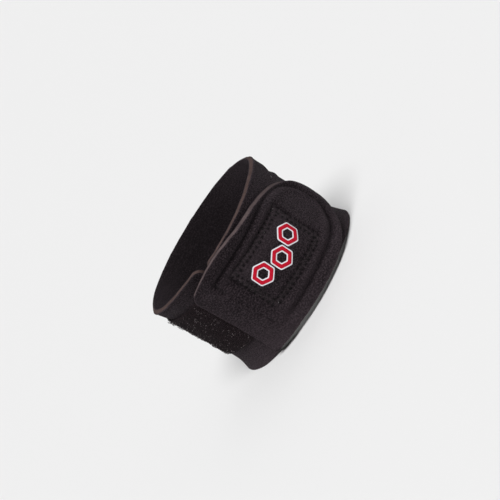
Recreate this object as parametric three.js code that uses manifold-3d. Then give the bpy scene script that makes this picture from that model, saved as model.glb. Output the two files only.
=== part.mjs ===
// A forearm support: a band of foam-cored fabric closed round a forearm just below the elbow.
// The band's two ends almost meet in front. A closing flap with one round end is sewn over
// them, and its straight end grips a patch of hook tape on the band's wider end.
//
// Lengths are in millimetres. The band stands on its wrist-side rim, with +Z towards the
// elbow and the flap in front, towards -Y. A place on the band is given as it would be on the
// flat cloth: an arc, measured round the band's outer face from the front and positive
// towards +X, a height above the floor, and a lift outwards from the outer face.
import * as THREE from "three";
import { mergeVertices } from "three/addons/utils/BufferGeometryUtils.js";
import Module from "manifold-3d";

// The forearm inside
const INNER_WIDTH = 91;
const INNER_DEPTH = 84;
const EGG = 0.8; // how far the front stands out of a plain oval, and the back lies in

// The band
const BAND_THICKNESS = 3.5;
const BAND_WIDTH = 63.8;
const HOOK_END_SPREAD = 2.3; // how much wider its hook end is
const HOOK_END_REACH = 75; // the length over which it widens to it
const PLAIN_END_ARC = -14.6; // the plain end's edge
const END_GAP = 1.6; // between the two ends
const END_CORNER = 5;
const PLAIN_END_RAISE = 3.2; // how far the wrist-side rim lifts off the floor at each end
const PLAIN_RAISE_REACH = 110;
const HOOK_END_RAISE = 2.6;
const HOOK_RAISE_REACH = 34;
const RIM_CURL = 2; // how far the two rims curl outwards
const RIM_CURL_REACH = 12;
const LEAN = 1.6; // how far the elbow side stands towards -X of the wrist side
const RIM_SLANT = 1.6; // the elbow-side cut edge slopes, so that the outer face is narrower
const CUT_SLANT = 0.9; // the same at the band's ends and all round the flap

// The hook tape on the band's wider end
const TAPE_WIDTH = 38;
const TAPE_LENGTH = 80;
const TAPE_THICKNESS = 1.4;
const TAPE_FROM_END = 4.5;
const TAPE_FROM_RIM = 12;
const TAPE_CORNER = 5;

// The closing flap
const FLAP_LENGTH = 100.7;
const FLAP_BELOW_RIM = 1.1; // its widest place below the band's elbow side
const FLAP_THICKNESS = 2.8;
const FLAP_TIP_ARC = 67;
const FLAP_RAISE = 2.2; // its lower side above the floor
const FLAP_NOSE = 47; // the length over which the round end narrows
const FLAP_NOSE_DEPTH = 28;
const FLAP_CORNER = 4.5;
const FLAP_TIP_LIFT = 1.5; // how far the tip springs off the band
const FLAP_TIP_LIFT_REACH = 22;
const FLAP_STEP_REACH = 8; // the length over which it climbs onto the hook tape

// The padded area sewn into the flap, inside a channel with the shape of a U
const PAD_LENGTH = 78.4;
const PAD_FROM_TIP = 8.1;
const PAD_FROM_LOW_SIDE = 7.5;
const PAD_FROM_HIGH_SIDE = 9.2;
const PAD_NOSE = 34; // the length over which its round end narrows
const PAD_NOSE_POWER = 2.3; // 2 is half an ellipse, and more is squarer
const PAD_NOSE_DROP = 1.5; // how much lower the round end's tip is than its middle line
const PAD_RISE = 0.7;
const CHANNEL_RADIUS = 1.3;
const CHANNEL_DEPTH = 1;

// The seam in the shape of a box that sews the flap to the band
const SEAM_INSIDE_PAD = 7.9; // from the pad's channel at each side
const SEAM_LENGTH = 42.3;
const SEAM_FROM_TIP = 35.1;
const SEAM_RISE = 0.6; // its middle above the pad's
const SEAM_TILT = 3.6; // degrees, down towards the round end
const SEAM_CHANNEL_RADIUS = 1.9;
const SEAM_DEPTH = 0.5;

// The printed badge, three hexagonal rings
const RINGS = 3;
const RING_ACROSS = 12.2; // between opposite flat sides
const RING_WALL = 3.4;
const RING_PITCH = 13;
const RING_STAGGER = 1.8; // how far each stands above or below the middle line
const PRINT_THICKNESS = 0.6;

const CLEARANCE = 0.3; // between pieces that lie on each other

// How finely the round shapes are divided
const OUTLINE_STEPS = 720;
const BAND_PITCH = 5;
const FLAP_PITCH = 4.5;
const CORNER_PITCH = 4;
const BAND_RIM_STEPS = [0, 2, 4.5, 8, 13];
const TAPE_RIM_STEPS = [0, 3];
const FLAP_RIM_STEPS = [0, 2, 5, 9];
const CHANNEL_SIDE_STEPS = 10;
const CHANNEL_NOSE_STEPS = 16;
const SEAM_STEPS = 8;
const TOOL_SECTION_STEPS = 5;
const TURN = 2 * Math.PI;

const wasm = await Module();
wasm.setup();

// The outer face of the band, seen along the forearm, at a turn from the front.
function outlinePoint(turn) {
  const mean = (INNER_WIDTH + INNER_DEPTH) / 4 + BAND_THICKNESS;
  const oval = (INNER_WIDTH - INNER_DEPTH) / 4;
  const radius = mean - oval * Math.cos(2 * turn) + EGG * Math.cos(3 * turn);
  return new THREE.Vector2(radius * Math.sin(turn), -radius * Math.cos(turn));
}

// The arcs at which the outline's steps end, so that an arc can be turned back into a turn.
function measureOutline() {
  const arcs = [0];
  for (let i = 1; i <= OUTLINE_STEPS; i++) {
    const here = outlinePoint((TURN * i) / OUTLINE_STEPS);
    const last = outlinePoint((TURN * (i - 1)) / OUTLINE_STEPS);
    arcs.push(arcs[i - 1] + here.distanceTo(last));
  }
  return arcs;
}

const OUTLINE_ARCS = measureOutline();
const GIRTH = OUTLINE_ARCS[OUTLINE_STEPS];

function turnAt(arc) {
  const wrapped = ((arc % GIRTH) + GIRTH) % GIRTH;
  const next = OUTLINE_ARCS.findIndex((a) => a > wrapped);
  const i = next < 0 ? OUTLINE_STEPS : next;
  const share = (wrapped - OUTLINE_ARCS[i - 1]) / (OUTLINE_ARCS[i] - OUTLINE_ARCS[i - 1]);
  return (TURN * (i - 1 + share)) / OUTLINE_STEPS;
}

// The point in space for a place on the flat cloth.
function place(arc, height, lift) {
  const turn = turnAt(arc);
  const point = outlinePoint(turn);
  const along = outlinePoint(turn + 1e-3).sub(outlinePoint(turn - 1e-3)).normalize();
  const lean = LEAN * (0.5 - height / BAND_WIDTH);
  return new THREE.Vector3(point.x + along.y * lift + lean, point.y - along.x * lift, height);
}

function smooth(x) {
  const t = THREE.MathUtils.clamp(x, 0, 1);
  return t * t * (3 - 2 * t);
}

// How far a rounded corner has drawn a side in, at a distance from the end. The corner is a
// quarter of an ellipse.
function cornerInset(distance, length, depth = length) {
  const share = 1 - THREE.MathUtils.clamp(distance / length, 0, 1);
  return depth * (1 - Math.sqrt(1 - share * share));
}

// Stations along a piece from one arc to another, close together in the rounded ends.
function stations(from, to, startRadius, endRadius, pitch) {
  const found = [];
  const rounded = (radius) => {
    const steps = Math.max(3, Math.round(radius / CORNER_PITCH));
    const distance = (k) => radius * (1 - Math.cos((Math.PI * k) / 2 / steps));
    return Array.from({ length: steps }, (_, k) => distance(k));
  };
  for (const d of rounded(startRadius)) found.push(from + d);
  const middle = to - from - startRadius - endRadius;
  const steps = Math.max(1, Math.round(middle / pitch));
  for (let k = 0; k <= steps; k++) found.push(from + startRadius + (middle * k) / steps);
  for (const d of rounded(endRadius).reverse()) found.push(to - d);
  return found;
}

// A smooth value at a share of the length, through a table's rows.
function fromTable(rows, column, share) {
  const next = rows.findIndex((row) => row.along >= share);
  if (next === 0) return rows[0][column];
  if (next < 0) return rows[rows.length - 1][column];
  const [a, b] = [rows[next - 1], rows[next]];
  const before = rows[next - 2] ?? a;
  const after = rows[next + 1] ?? b;
  const slope = (p, q) => (q[column] - p[column]) / Math.max(q.along - p.along, 1e-6);
  const span = b.along - a.along;
  const t = (share - a.along) / span;
  const start = slope(before, b) * span;
  const end = slope(a, after) * span;
  return (
    (2 * t ** 3 - 3 * t ** 2 + 1) * a[column] +
    (t ** 3 - 2 * t ** 2 + t) * start +
    (-2 * t ** 3 + 3 * t ** 2) * b[column] +
    (t ** 3 - t ** 2) * end
  );
}

// A closed piece of cloth. arcs are its stations, rimSteps the distances from a rim at which
// it has lines, and middleLines how many it has between those. low and high give its two
// sides at an arc, and inner and outer the lifts of its faces at a place. slant draws the
// outer face in at the low side, the high side and the two ends.
function sheet({ arcs, rimSteps, middleLines, low, high, inner, outer, slant }) {
  const fullWidth = Math.max(...arcs.map((arc) => high(arc) - low(arc)));
  const heightsAt = (arc) => {
    const [from, to] = [low(arc), high(arc)];
    const scale = (to - from) / fullWidth;
    const below = rimSteps.map((d) => from + d * scale);
    const above = rimSteps.map((d) => to - d * scale).reverse();
    const [start, end] = [below[below.length - 1], above[0]];
    const middle = Array.from(
      { length: middleLines },
      (_, k) => start + ((end - start) * (k + 1)) / (middleLines + 1),
    );
    return [...below, ...middle, ...above];
  };
  const flat = arcs.map((arc) => heightsAt(arc).map((height) => new THREE.Vector2(arc, height)));
  const [rows, lines] = [flat.length, flat[0].length];
  const drawn = flat.map((row, i) =>
    row.map((point, j) => {
      const shift = new THREE.Vector2();
      const side = j === 0 ? 1 : j === lines - 1 ? -1 : 0;
      if (side) {
        const a = flat[Math.max(i - 1, 0)][j];
        const b = flat[Math.min(i + 1, rows - 1)][j];
        const along = b.clone().sub(a).normalize();
        const amount = side > 0 ? slant.low : slant.high;
        shift.add(new THREE.Vector2(-along.y, along.x).multiplyScalar(side * amount));
      }
      if (i === 0) shift.x += slant.ends;
      if (i === rows - 1) shift.x -= slant.ends;
      return point.clone().add(shift.clampLength(0, Math.max(slant.low, slant.high, slant.ends)));
    }),
  );
  const positions = [];
  for (const [grid, lift] of [
    [drawn, outer],
    [flat, inner],
  ]) {
    for (const row of grid) {
      for (const p of row) positions.push(...place(p.x, p.y, lift(p.x, p.y)).toArray());
    }
  }
  const index = [];
  const quad = (a, b, c, d) => index.push(a, b, c, a, c, d);
  const vertex = (face, i, j) => face * rows * lines + i * lines + j;
  for (let i = 0; i < rows - 1; i++) {
    for (let j = 0; j < lines - 1; j++) {
      quad(vertex(0, i, j), vertex(0, i + 1, j), vertex(0, i + 1, j + 1), vertex(0, i, j + 1));
      quad(vertex(1, i, j), vertex(1, i, j + 1), vertex(1, i + 1, j + 1), vertex(1, i + 1, j));
    }
    const last = lines - 1;
    quad(vertex(0, i, 0), vertex(1, i, 0), vertex(1, i + 1, 0), vertex(0, i + 1, 0));
    quad(vertex(0, i, last), vertex(0, i + 1, last), vertex(1, i + 1, last), vertex(1, i, last));
  }
  for (let j = 0; j < lines - 1; j++) {
    const last = rows - 1;
    quad(vertex(0, 0, j), vertex(0, 0, j + 1), vertex(1, 0, j + 1), vertex(1, 0, j));
    quad(vertex(0, last, j), vertex(1, last, j), vertex(1, last, j + 1), vertex(0, last, j + 1));
  }
  return closedGeometry(positions, index);
}

function closedGeometry(positions, index) {
  const geometry = new THREE.BufferGeometry();
  geometry.setAttribute("position", new THREE.Float32BufferAttribute(positions, 3));
  geometry.setIndex(index);
  return geometry;
}

function toSolid(geometry) {
  const bare = geometry.clone();
  bare.deleteAttribute("normal");
  bare.deleteAttribute("uv");
  const merged = mergeVertices(bare, 1e-4);
  return new wasm.Manifold(
    new wasm.Mesh({
      numProp: 3,
      vertProperties: merged.attributes.position.array,
      triVerts: new Uint32Array(merged.index.array),
    }),
  );
}

function toGeometry(solid) {
  const mesh = solid.getMesh();
  return closedGeometry(Array.from(mesh.vertProperties), Array.from(mesh.triVerts));
}

// The band's rims

const HOOK_END_WIDTH = BAND_WIDTH + HOOK_END_SPREAD;
const BAND_FROM = PLAIN_END_ARC; // the plain end, from which the cloth runs round the back
const BAND_TO = PLAIN_END_ARC - END_GAP + GIRTH; // the hook end
const BAND_LENGTH = BAND_TO - BAND_FROM;

// The height of its elbow side along it, as a share of the band's width.
const BAND_HIGH_SIDE = [
  { along: 0, high: 0.988 },
  { along: 0.1, high: 0.992 },
  { along: 0.2, high: 1.005 },
  { along: 0.35, high: 1 },
  { along: 0.75, high: 1 },
  { along: 1, high: 1 },
];

function bandWidth(arc) {
  const share = (arc - BAND_FROM) / BAND_LENGTH;
  const growth = smooth(1 - (BAND_TO - arc) / HOOK_END_REACH);
  const high = BAND_WIDTH + (HOOK_END_WIDTH - BAND_WIDTH) * growth;
  return high * fromTable(BAND_HIGH_SIDE, "high", share);
}

function endDistance(arc) {
  return Math.min(arc - BAND_FROM, BAND_TO - arc);
}

function bandLowRim(arc) {
  const plain = PLAIN_END_RAISE * smooth(1 - (arc - BAND_FROM) / PLAIN_RAISE_REACH);
  return plain + HOOK_END_RAISE * smooth(1 - (BAND_TO - arc) / HOOK_RAISE_REACH);
}

function bandLow(arc) {
  return bandLowRim(arc) + cornerInset(endDistance(arc), END_CORNER);
}

function bandHigh(arc) {
  return bandWidth(arc) - cornerInset(endDistance(arc), END_CORNER);
}

// The outward curl of the rims, at a place on the band.
function bandCurl(arc, height) {
  const below = Math.max(0, height - bandLowRim(arc));
  const above = Math.max(0, bandWidth(arc) - height);
  const curl = (distance) => RIM_CURL * Math.max(0, 1 - distance / RIM_CURL_REACH) ** 2;
  return curl(below) + curl(above);
}

function band() {
  return sheet({
    arcs: stations(BAND_FROM, BAND_TO, END_CORNER, END_CORNER, BAND_PITCH),
    rimSteps: BAND_RIM_STEPS,
    middleLines: 2,
    low: bandLow,
    high: bandHigh,
    inner: (arc, height) => bandCurl(arc, height) - BAND_THICKNESS,
    outer: bandCurl,
    slant: { low: 0, high: RIM_SLANT, ends: CUT_SLANT },
  });
}

// The hook tape

const TAPE_TO = BAND_TO - TAPE_FROM_END;
const TAPE_FROM = TAPE_TO - TAPE_LENGTH;
const TAPE_HIGH = HOOK_END_WIDTH - TAPE_FROM_RIM;

function hookTape() {
  const corner = (arc) => cornerInset(Math.min(arc - TAPE_FROM, TAPE_TO - arc), TAPE_CORNER);
  return sheet({
    arcs: stations(TAPE_FROM, TAPE_TO, TAPE_CORNER, TAPE_CORNER, BAND_PITCH),
    rimSteps: TAPE_RIM_STEPS,
    middleLines: 2,
    low: (arc) => TAPE_HIGH - TAPE_WIDTH + corner(arc),
    high: (arc) => TAPE_HIGH - corner(arc),
    inner: (arc, height) => bandCurl(arc, height) + CLEARANCE,
    outer: (arc, height) => bandCurl(arc, height) + CLEARANCE + TAPE_THICKNESS,
    slant: { low: 0, high: 0, ends: 0 },
  });
}

// The flap

const FLAP_END_ARC = FLAP_TIP_ARC - FLAP_LENGTH;
const FLAP_WIDTH = BAND_WIDTH - FLAP_BELOW_RIM - FLAP_RAISE;
const TAPE_EDGE_ARC = TAPE_TO - GIRTH; // the tape's end under the flap

// Its two sides, as shares of the flap's width, along its length from the straight end.
const FLAP_SIDES = [
  { along: 0, low: 0.004, high: 0.915 },
  { along: 0.08, low: 0.004, high: 0.955 },
  { along: 0.17, low: 0.003, high: 0.988 },
  { along: 0.3, low: 0, high: 1 },
  { along: 0.45, low: -0.003, high: 0.962 },
  { along: 0.6, low: -0.005, high: 0.931 },
  { along: 0.75, low: -0.017, high: 0.912 },
  { along: 1, low: -0.038, high: 0.899 },
];

function flapSide(arc, side) {
  const share = (arc - FLAP_END_ARC) / FLAP_LENGTH;
  return FLAP_RAISE + FLAP_WIDTH * fromTable(FLAP_SIDES, side, share);
}

function flapInset(arc) {
  const atTip = cornerInset(FLAP_TIP_ARC - arc, FLAP_NOSE, FLAP_NOSE_DEPTH);
  return atTip + cornerInset(arc - FLAP_END_ARC, FLAP_CORNER);
}

// The flap's inner face follows the band's curled face, climbs onto the hook tape, and
// springs off the band at the tip.
function flapInner(arc, height) {
  const step = smooth((TAPE_EDGE_ARC + FLAP_STEP_REACH - arc) / FLAP_STEP_REACH);
  const spring = Math.max(0, 1 - (FLAP_TIP_ARC - arc) / FLAP_TIP_LIFT_REACH) ** 2;
  const curl = bandCurl(bandArc(arc), height);
  return curl + CLEARANCE + step * (TAPE_THICKNESS + CLEARANCE) + spring * FLAP_TIP_LIFT;
}

// The same place as an arc on the band's cloth, which runs round from its plain end. Over
// the gap between the ends it is the nearer end.
function bandArc(arc) {
  if (arc >= BAND_FROM) return arc;
  const wrapped = arc + GIRTH;
  return wrapped <= BAND_TO ? wrapped : arc > BAND_FROM - END_GAP / 2 ? BAND_FROM : BAND_TO;
}

const PAD_TIP_ARC = FLAP_TIP_ARC - PAD_FROM_TIP;
const PAD_WIDTH = FLAP_WIDTH - PAD_FROM_LOW_SIDE - PAD_FROM_HIGH_SIDE;
const PAD_MIDDLE = FLAP_RAISE + PAD_FROM_LOW_SIDE + PAD_WIDTH / 2;

// The pad swells gently inside its channel.
function padSwell(arc, height) {
  const across = Math.abs(height - PAD_MIDDLE) / (PAD_WIDTH / 2);
  const along = Math.abs(arc - PAD_TIP_ARC + PAD_LENGTH / 2) / (PAD_LENGTH / 2);
  return PAD_RISE * (1 - smooth(across)) * (1 - smooth(along) ** 2);
}

function flapOuter(arc, height) {
  return flapInner(arc, height) + FLAP_THICKNESS + padSwell(arc, height);
}

// The channel round the pad: along one side, round the nose and back along the other.
function channelPlaces() {
  const noseArc = PAD_TIP_ARC - PAD_NOSE;
  const endArc = PAD_TIP_ARC - PAD_LENGTH;
  const half = PAD_WIDTH / 2;
  const step = (noseArc - endArc) / CHANNEL_SIDE_STEPS;
  const side = Array.from({ length: CHANNEL_SIDE_STEPS }, (_, k) => endArc + step * k);
  const squared = (share) => Math.sign(share) * Math.abs(share) ** (2 / PAD_NOSE_POWER);
  const nose = Array.from({ length: CHANNEL_NOSE_STEPS + 1 }, (_, k) => {
    const angle = (Math.PI * k) / CHANNEL_NOSE_STEPS;
    const along = squared(Math.sin(angle));
    const across = squared(Math.cos(angle));
    return [noseArc + PAD_NOSE * along, PAD_MIDDLE - half * across - PAD_NOSE_DROP * along];
  });
  const lower = side.map((arc) => [arc, PAD_MIDDLE - half]);
  const upper = side.map((arc) => [arc, PAD_MIDDLE + half]).reverse();
  return [...lower, ...nose, ...upper];
}

// A round tool along places on the flap's outer face, which cuts a channel of that depth.
function channelTool(places, radius, depth) {
  const lift = radius - depth;
  const points = places.map(([arc, height]) => place(arc, height, flapOuter(arc, height) + lift));
  const section = new THREE.Shape().absarc(0, 0, radius, 0, TURN, false);
  const path = new THREE.CatmullRomCurve3(points);
  const geometry = new THREE.ExtrudeGeometry(section, {
    steps: 2 * places.length,
    curveSegments: TOOL_SECTION_STEPS,
    bevelEnabled: false,
    extrudePath: path,
  });
  return toSolid(geometry);
}

const SEAM_WIDTH = PAD_WIDTH - 2 * SEAM_INSIDE_PAD;
const SEAM_ARC = FLAP_TIP_ARC - SEAM_FROM_TIP - SEAM_LENGTH / 2;
const SEAM_MIDDLE = PAD_MIDDLE + SEAM_RISE;

// A place in the box seam's tilted frame, from its middle: along the flap and across it.
function seamPlace(along, across) {
  const tilt = THREE.MathUtils.degToRad(SEAM_TILT);
  return [
    SEAM_ARC + along * Math.cos(tilt) + across * Math.sin(tilt),
    SEAM_MIDDLE + across * Math.cos(tilt) - along * Math.sin(tilt),
  ];
}

// The four sides of the box seam, each with its places along it.
function seamSides() {
  const [length, width] = [SEAM_LENGTH / 2, SEAM_WIDTH / 2];
  const shares = Array.from({ length: SEAM_STEPS + 1 }, (_, k) => (2 * k) / SEAM_STEPS - 1);
  return [
    shares.map((share) => seamPlace(share * length, -width)),
    shares.map((share) => seamPlace(share * length, width)),
    shares.map((share) => seamPlace(-length, share * width)),
    shares.map((share) => seamPlace(length, share * width)),
  ];
}

function flap() {
  const plain = sheet({
    arcs: stations(FLAP_END_ARC, FLAP_TIP_ARC, FLAP_CORNER, FLAP_NOSE, FLAP_PITCH),
    rimSteps: FLAP_RIM_STEPS,
    middleLines: 6,
    low: (arc) => flapSide(arc, "low") + flapInset(arc),
    high: (arc) => flapSide(arc, "high") - flapInset(arc),
    inner: flapInner,
    outer: flapOuter,
    slant: { low: CUT_SLANT, high: CUT_SLANT, ends: CUT_SLANT },
  });
  let solid = toSolid(plain);
  solid = solid.subtract(channelTool(channelPlaces(), CHANNEL_RADIUS, CHANNEL_DEPTH));
  for (const side of seamSides()) {
    solid = solid.subtract(channelTool(side, SEAM_CHANNEL_RADIUS, SEAM_DEPTH));
  }
  return toGeometry(solid);
}

// One hexagonal ring of the badge, bent onto the flap.
function badgeRing(number) {
  const corner = (radius, k) => {
    const angle = (TURN * (k + 0.5)) / 6;
    return new THREE.Vector2(radius * Math.cos(angle), radius * Math.sin(angle));
  };
  const hexagon = (across) => {
    const radius = across / 2 / Math.cos(Math.PI / 6);
    return Array.from({ length: 6 }, (_, k) => corner(radius, k));
  };
  const halved = (points) =>
    points.flatMap((p, k) => [p, p.clone().lerp(points[(k + 1) % points.length], 0.5)]);
  const shape = new THREE.Shape(halved(hexagon(RING_ACROSS)));
  shape.holes.push(new THREE.Path(halved(hexagon(RING_ACROSS - 2 * RING_WALL))));
  const geometry = new THREE.ExtrudeGeometry(shape, { depth: PRINT_THICKNESS, bevelEnabled: false });
  const centre = (number - (RINGS - 1) / 2) * RING_PITCH;
  const stagger = number % 2 ? -RING_STAGGER : RING_STAGGER;
  const faceLift = FLAP_THICKNESS + PAD_RISE;
  const stretch = 1 + faceLift / (GIRTH / TURN); // the flap's face is longer than the band's
  const position = geometry.getAttribute("position");
  for (let i = 0; i < position.count; i++) {
    const along = (centre + position.getX(i)) / stretch;
    const [arc, height] = seamPlace(along, position.getY(i) + stagger);
    const lift = flapOuter(arc, height) + CLEARANCE + position.getZ(i);
    position.setXYZ(i, ...place(arc, height, lift).toArray());
  }
  return geometry;
}

// The assembly

const CLOTH = { color: 0x231f20, roughness: 0.95, metalness: 0 };
const HOOKS = { color: 0x171415, roughness: 0.8, metalness: 0 };
const PRINT = { color: 0xc41230, roughness: 0.4, metalness: 0 };

function piece(name, geometry, look) {
  const mesh = new THREE.Mesh(geometry, new THREE.MeshStandardMaterial(look));
  mesh.name = name;
  return mesh;
}

const support = new THREE.Group();
support.add(piece("band", band(), CLOTH));
support.add(piece("hook_tape", hookTape(), HOOKS));
support.add(piece("closing_flap", flap(), CLOTH));
for (let k = 0; k < RINGS; k++) {
  support.add(piece(`badge_ring_${k + 1}`, badgeRing(k), PRINT));
}

// The origin is on the floor, under the middle of the whole support.
const extent = new THREE.Box3().setFromObject(support);
const middle = extent.getCenter(new THREE.Vector3());
support.position.set(-middle.x, -middle.y, -extent.min.z);

export default support;
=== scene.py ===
# The forearm support dressed for its picture: foam-cored cloth with its cut edges, pressed
# channels, stitches, hook tape and badge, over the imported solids.
#
# Lengths are in millimetres until a mesh is made. A place on the cloth is an arc, measured
# round the band's outer face from the front and positive towards +X, a height above the
# floor, and a lift outwards from the outer face.
import math

import bpy
import numpy as np
from mathutils import Matrix, Vector
from mathutils.kdtree import KDTree


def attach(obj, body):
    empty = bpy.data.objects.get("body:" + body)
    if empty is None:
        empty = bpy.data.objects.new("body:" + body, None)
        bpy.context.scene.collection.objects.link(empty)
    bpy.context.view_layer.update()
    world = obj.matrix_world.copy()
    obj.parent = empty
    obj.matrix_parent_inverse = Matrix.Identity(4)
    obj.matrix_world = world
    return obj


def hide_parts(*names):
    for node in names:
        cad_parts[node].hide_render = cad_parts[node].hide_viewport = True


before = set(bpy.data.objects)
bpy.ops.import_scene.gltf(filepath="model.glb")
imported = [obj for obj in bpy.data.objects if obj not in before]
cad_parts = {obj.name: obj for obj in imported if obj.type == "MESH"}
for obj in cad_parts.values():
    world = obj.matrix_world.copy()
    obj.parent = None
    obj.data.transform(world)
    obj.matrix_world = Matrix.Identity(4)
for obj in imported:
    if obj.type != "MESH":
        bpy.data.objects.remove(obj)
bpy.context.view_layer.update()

# The solids' sizes

SHIFT = (-0.633, 2.337)  # from the forearm's axis to the middle of the whole outline
INNER_WIDTH = 91
INNER_DEPTH = 84
EGG = 0.8
BAND_THICKNESS = 3.5
BAND_WIDTH = 63.8
HOOK_END_WIDTH = 66.1
HOOK_END_REACH = 75
PLAIN_END_ARC = -14.6
END_GAP = 1.6
END_CORNER = 5
PLAIN_END_RAISE = 3.2
PLAIN_RAISE_REACH = 110
HOOK_END_RAISE = 2.6
HOOK_RAISE_REACH = 34
RIM_CURL = 2
RIM_CURL_REACH = 12
LEAN = 1.6
RIM_SLANT = 1.6
CUT_SLANT = 0.9

TAPE_WIDTH = 38
TAPE_LENGTH = 80
TAPE_THICKNESS = 1.4
TAPE_FROM_END = 4.5
TAPE_FROM_RIM = 12
TAPE_CORNER = 5

FLAP_LENGTH = 100.7
FLAP_WIDTH = 60.5
FLAP_THICKNESS = 2.8
FLAP_TIP_ARC = 67
FLAP_RAISE = 2.2
FLAP_NOSE = 47
FLAP_NOSE_DEPTH = 28
FLAP_CORNER = 4.5
FLAP_TIP_LIFT = 1.5
FLAP_TIP_LIFT_REACH = 22
FLAP_STEP_REACH = 8

PAD_WIDTH = 43.8
PAD_LENGTH = 78.4
PAD_FROM_TIP = 8.1
PAD_FROM_SIDE = 7.5
PAD_NOSE = 34
PAD_NOSE_POWER = 2.3
PAD_NOSE_DROP = 1.5
PAD_RISE = 0.7

SEAM_WIDTH = 28
SEAM_LENGTH = 42.3
SEAM_FROM_TIP = 35.1
SEAM_RISE = 0.6
SEAM_TILT = 3.6

RINGS = 3
RING_ACROSS = 12.2
RING_WALL = 3.4
RING_PITCH = 13
RING_STAGGER = 1.8
CLEARANCE = 0.3

MILLIMETRE = 0.001
TURN = 2 * math.pi
OUTLINE_STEPS = 7200


# The band's outer face, seen along the forearm

OUTLINE_STEP = 0.001  # a small turn, to find the outline's direction


def outline(turn):
    mean = (INNER_WIDTH + INNER_DEPTH) / 4 + BAND_THICKNESS
    oval = (INNER_WIDTH - INNER_DEPTH) / 4
    radius = mean - oval * np.cos(2 * turn) + EGG * np.cos(3 * turn)
    return radius * np.sin(turn), -radius * np.cos(turn)


TURNS = np.linspace(0, TURN, OUTLINE_STEPS + 1)
OUTLINE_X, OUTLINE_Y = outline(TURNS)
ARC_STEPS = np.hypot(np.diff(OUTLINE_X), np.diff(OUTLINE_Y))
ARCS = np.concatenate([[0], np.cumsum(ARC_STEPS)])
GIRTH = ARCS[-1]


def place(arc, height, lift):
    """The points in space, in metres, of places on the cloth."""
    turn = np.interp(np.mod(arc, GIRTH), ARCS, TURNS)
    x, y = outline(turn)
    ahead_x, ahead_y = outline(turn + OUTLINE_STEP)
    back_x, back_y = outline(turn - OUTLINE_STEP)
    along_x, along_y = ahead_x - back_x, ahead_y - back_y
    length = np.hypot(along_x, along_y)
    lean = LEAN * (0.5 - height / BAND_WIDTH)
    points = [
        x + along_y / length * lift + lean + SHIFT[0],
        y - along_x / length * lift + SHIFT[1],
        height + 0 * x,
    ]
    return np.stack(points, -1) * MILLIMETRE


def smooth(x):
    t = np.clip(x, 0, 1)
    return t * t * (3 - 2 * t)


def around(arc, middle):
    """How far along the cloth an arc lies from a middle one, the shorter way round."""
    return np.mod(arc - middle + GIRTH / 2, GIRTH) - GIRTH / 2


def bell(x, width):
    return np.exp(-((x / width) ** 2))


def at_least(least, share):
    """A share of 0 to 1 drawn up so that it starts at the least value."""
    return least + (1 - least) * share


def corner_inset(distance, length, depth=None):
    """How far a rounded corner has drawn a side in, at a distance from the end."""
    share = 1 - np.clip(distance / length, 0, 1)
    return (length if depth is None else depth) * (1 - np.sqrt(1 - share * share))


def from_table(rows, column, share):
    """A smooth value at a share of the length, through a table's rows."""
    along = np.array([row["along"] for row in rows])
    values = np.array([row[column] for row in rows])
    share = np.clip(share, along[0], along[-1])
    k = np.clip(np.searchsorted(along, share, side="left") - 1, 0, len(along) - 2)
    before = np.maximum(k - 1, 0)
    after = np.minimum(k + 2, len(along) - 1)
    span = along[k + 1] - along[k]
    t = (share - along[k]) / span
    start = (values[k + 1] - values[before]) / (along[k + 1] - along[before]) * span
    end = (values[after] - values[k]) / (along[after] - along[k]) * span
    return (
        (2 * t**3 - 3 * t**2 + 1) * values[k]
        + (t**3 - 2 * t**2 + t) * start
        + (-2 * t**3 + 3 * t**2) * values[k + 1]
        + (t**3 - t**2) * end
    )


RIPPLE_WAVES = 22
RIPPLE_LENGTHS = (0.6, 1.8)  # the shortest and longest wave, in lengths of the field


def ripples(seed, length):
    """A smooth random field over the cloth, of about one, with bumps of about that length."""
    random = np.random.default_rng(seed)
    turns = random.uniform(0, math.pi, RIPPLE_WAVES)
    lengths = length * random.uniform(*RIPPLE_LENGTHS, RIPPLE_WAVES)
    phases = random.uniform(0, TURN, RIPPLE_WAVES)

    def field(arc, height):
        total = 0
        for turn, wave, phase in zip(turns, lengths, phases):
            across = arc * math.cos(turn) + height * math.sin(turn)
            total = total + np.sin(TURN * across / wave + phase)
        return total / math.sqrt(RIPPLE_WAVES / 2)

    return field


# The band

BAND_FROM = PLAIN_END_ARC
BAND_TO = PLAIN_END_ARC - END_GAP + GIRTH
BAND_LENGTH = BAND_TO - BAND_FROM

# The height of its elbow side along it, as a share of the band's width
BAND_HIGH_SIDE = [
    {"along": 0, "high": 0.988},
    {"along": 0.1, "high": 0.992},
    {"along": 0.2, "high": 1.005},
    {"along": 0.35, "high": 1},
    {"along": 0.75, "high": 1},
    {"along": 1, "high": 1},
]


def band_width(arc):
    share = (arc - BAND_FROM) / BAND_LENGTH
    growth = smooth(1 - (BAND_TO - arc) / HOOK_END_REACH)
    high = BAND_WIDTH + (HOOK_END_WIDTH - BAND_WIDTH) * growth
    return high * from_table(BAND_HIGH_SIDE, "high", share)


def band_low_rim(arc):
    plain = PLAIN_END_RAISE * smooth(1 - (arc - BAND_FROM) / PLAIN_RAISE_REACH)
    return plain + HOOK_END_RAISE * smooth(1 - (BAND_TO - arc) / HOOK_RAISE_REACH)


def band_corner(arc):
    return corner_inset(np.minimum(arc - BAND_FROM, BAND_TO - arc), END_CORNER)


def band_low(arc):
    return band_low_rim(arc) + band_corner(arc)


def band_high(arc):
    return band_width(arc) - band_corner(arc)


FLARE = 0.9  # how much further out the cloth stands at its rims than at its waist


def rim_curl(distance):
    return RIM_CURL * np.maximum(0, 1 - np.maximum(0, distance) / RIM_CURL_REACH) ** 2


def band_curl(arc, height):
    waist = FLARE * ((2 * height / BAND_WIDTH - 1) ** 2 - 0.5)
    return rim_curl(height - band_low_rim(arc)) + rim_curl(band_width(arc) - height) + waist


GAP_BLEND = 8  # over this length the flap passes from one end of the band to the other


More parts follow.
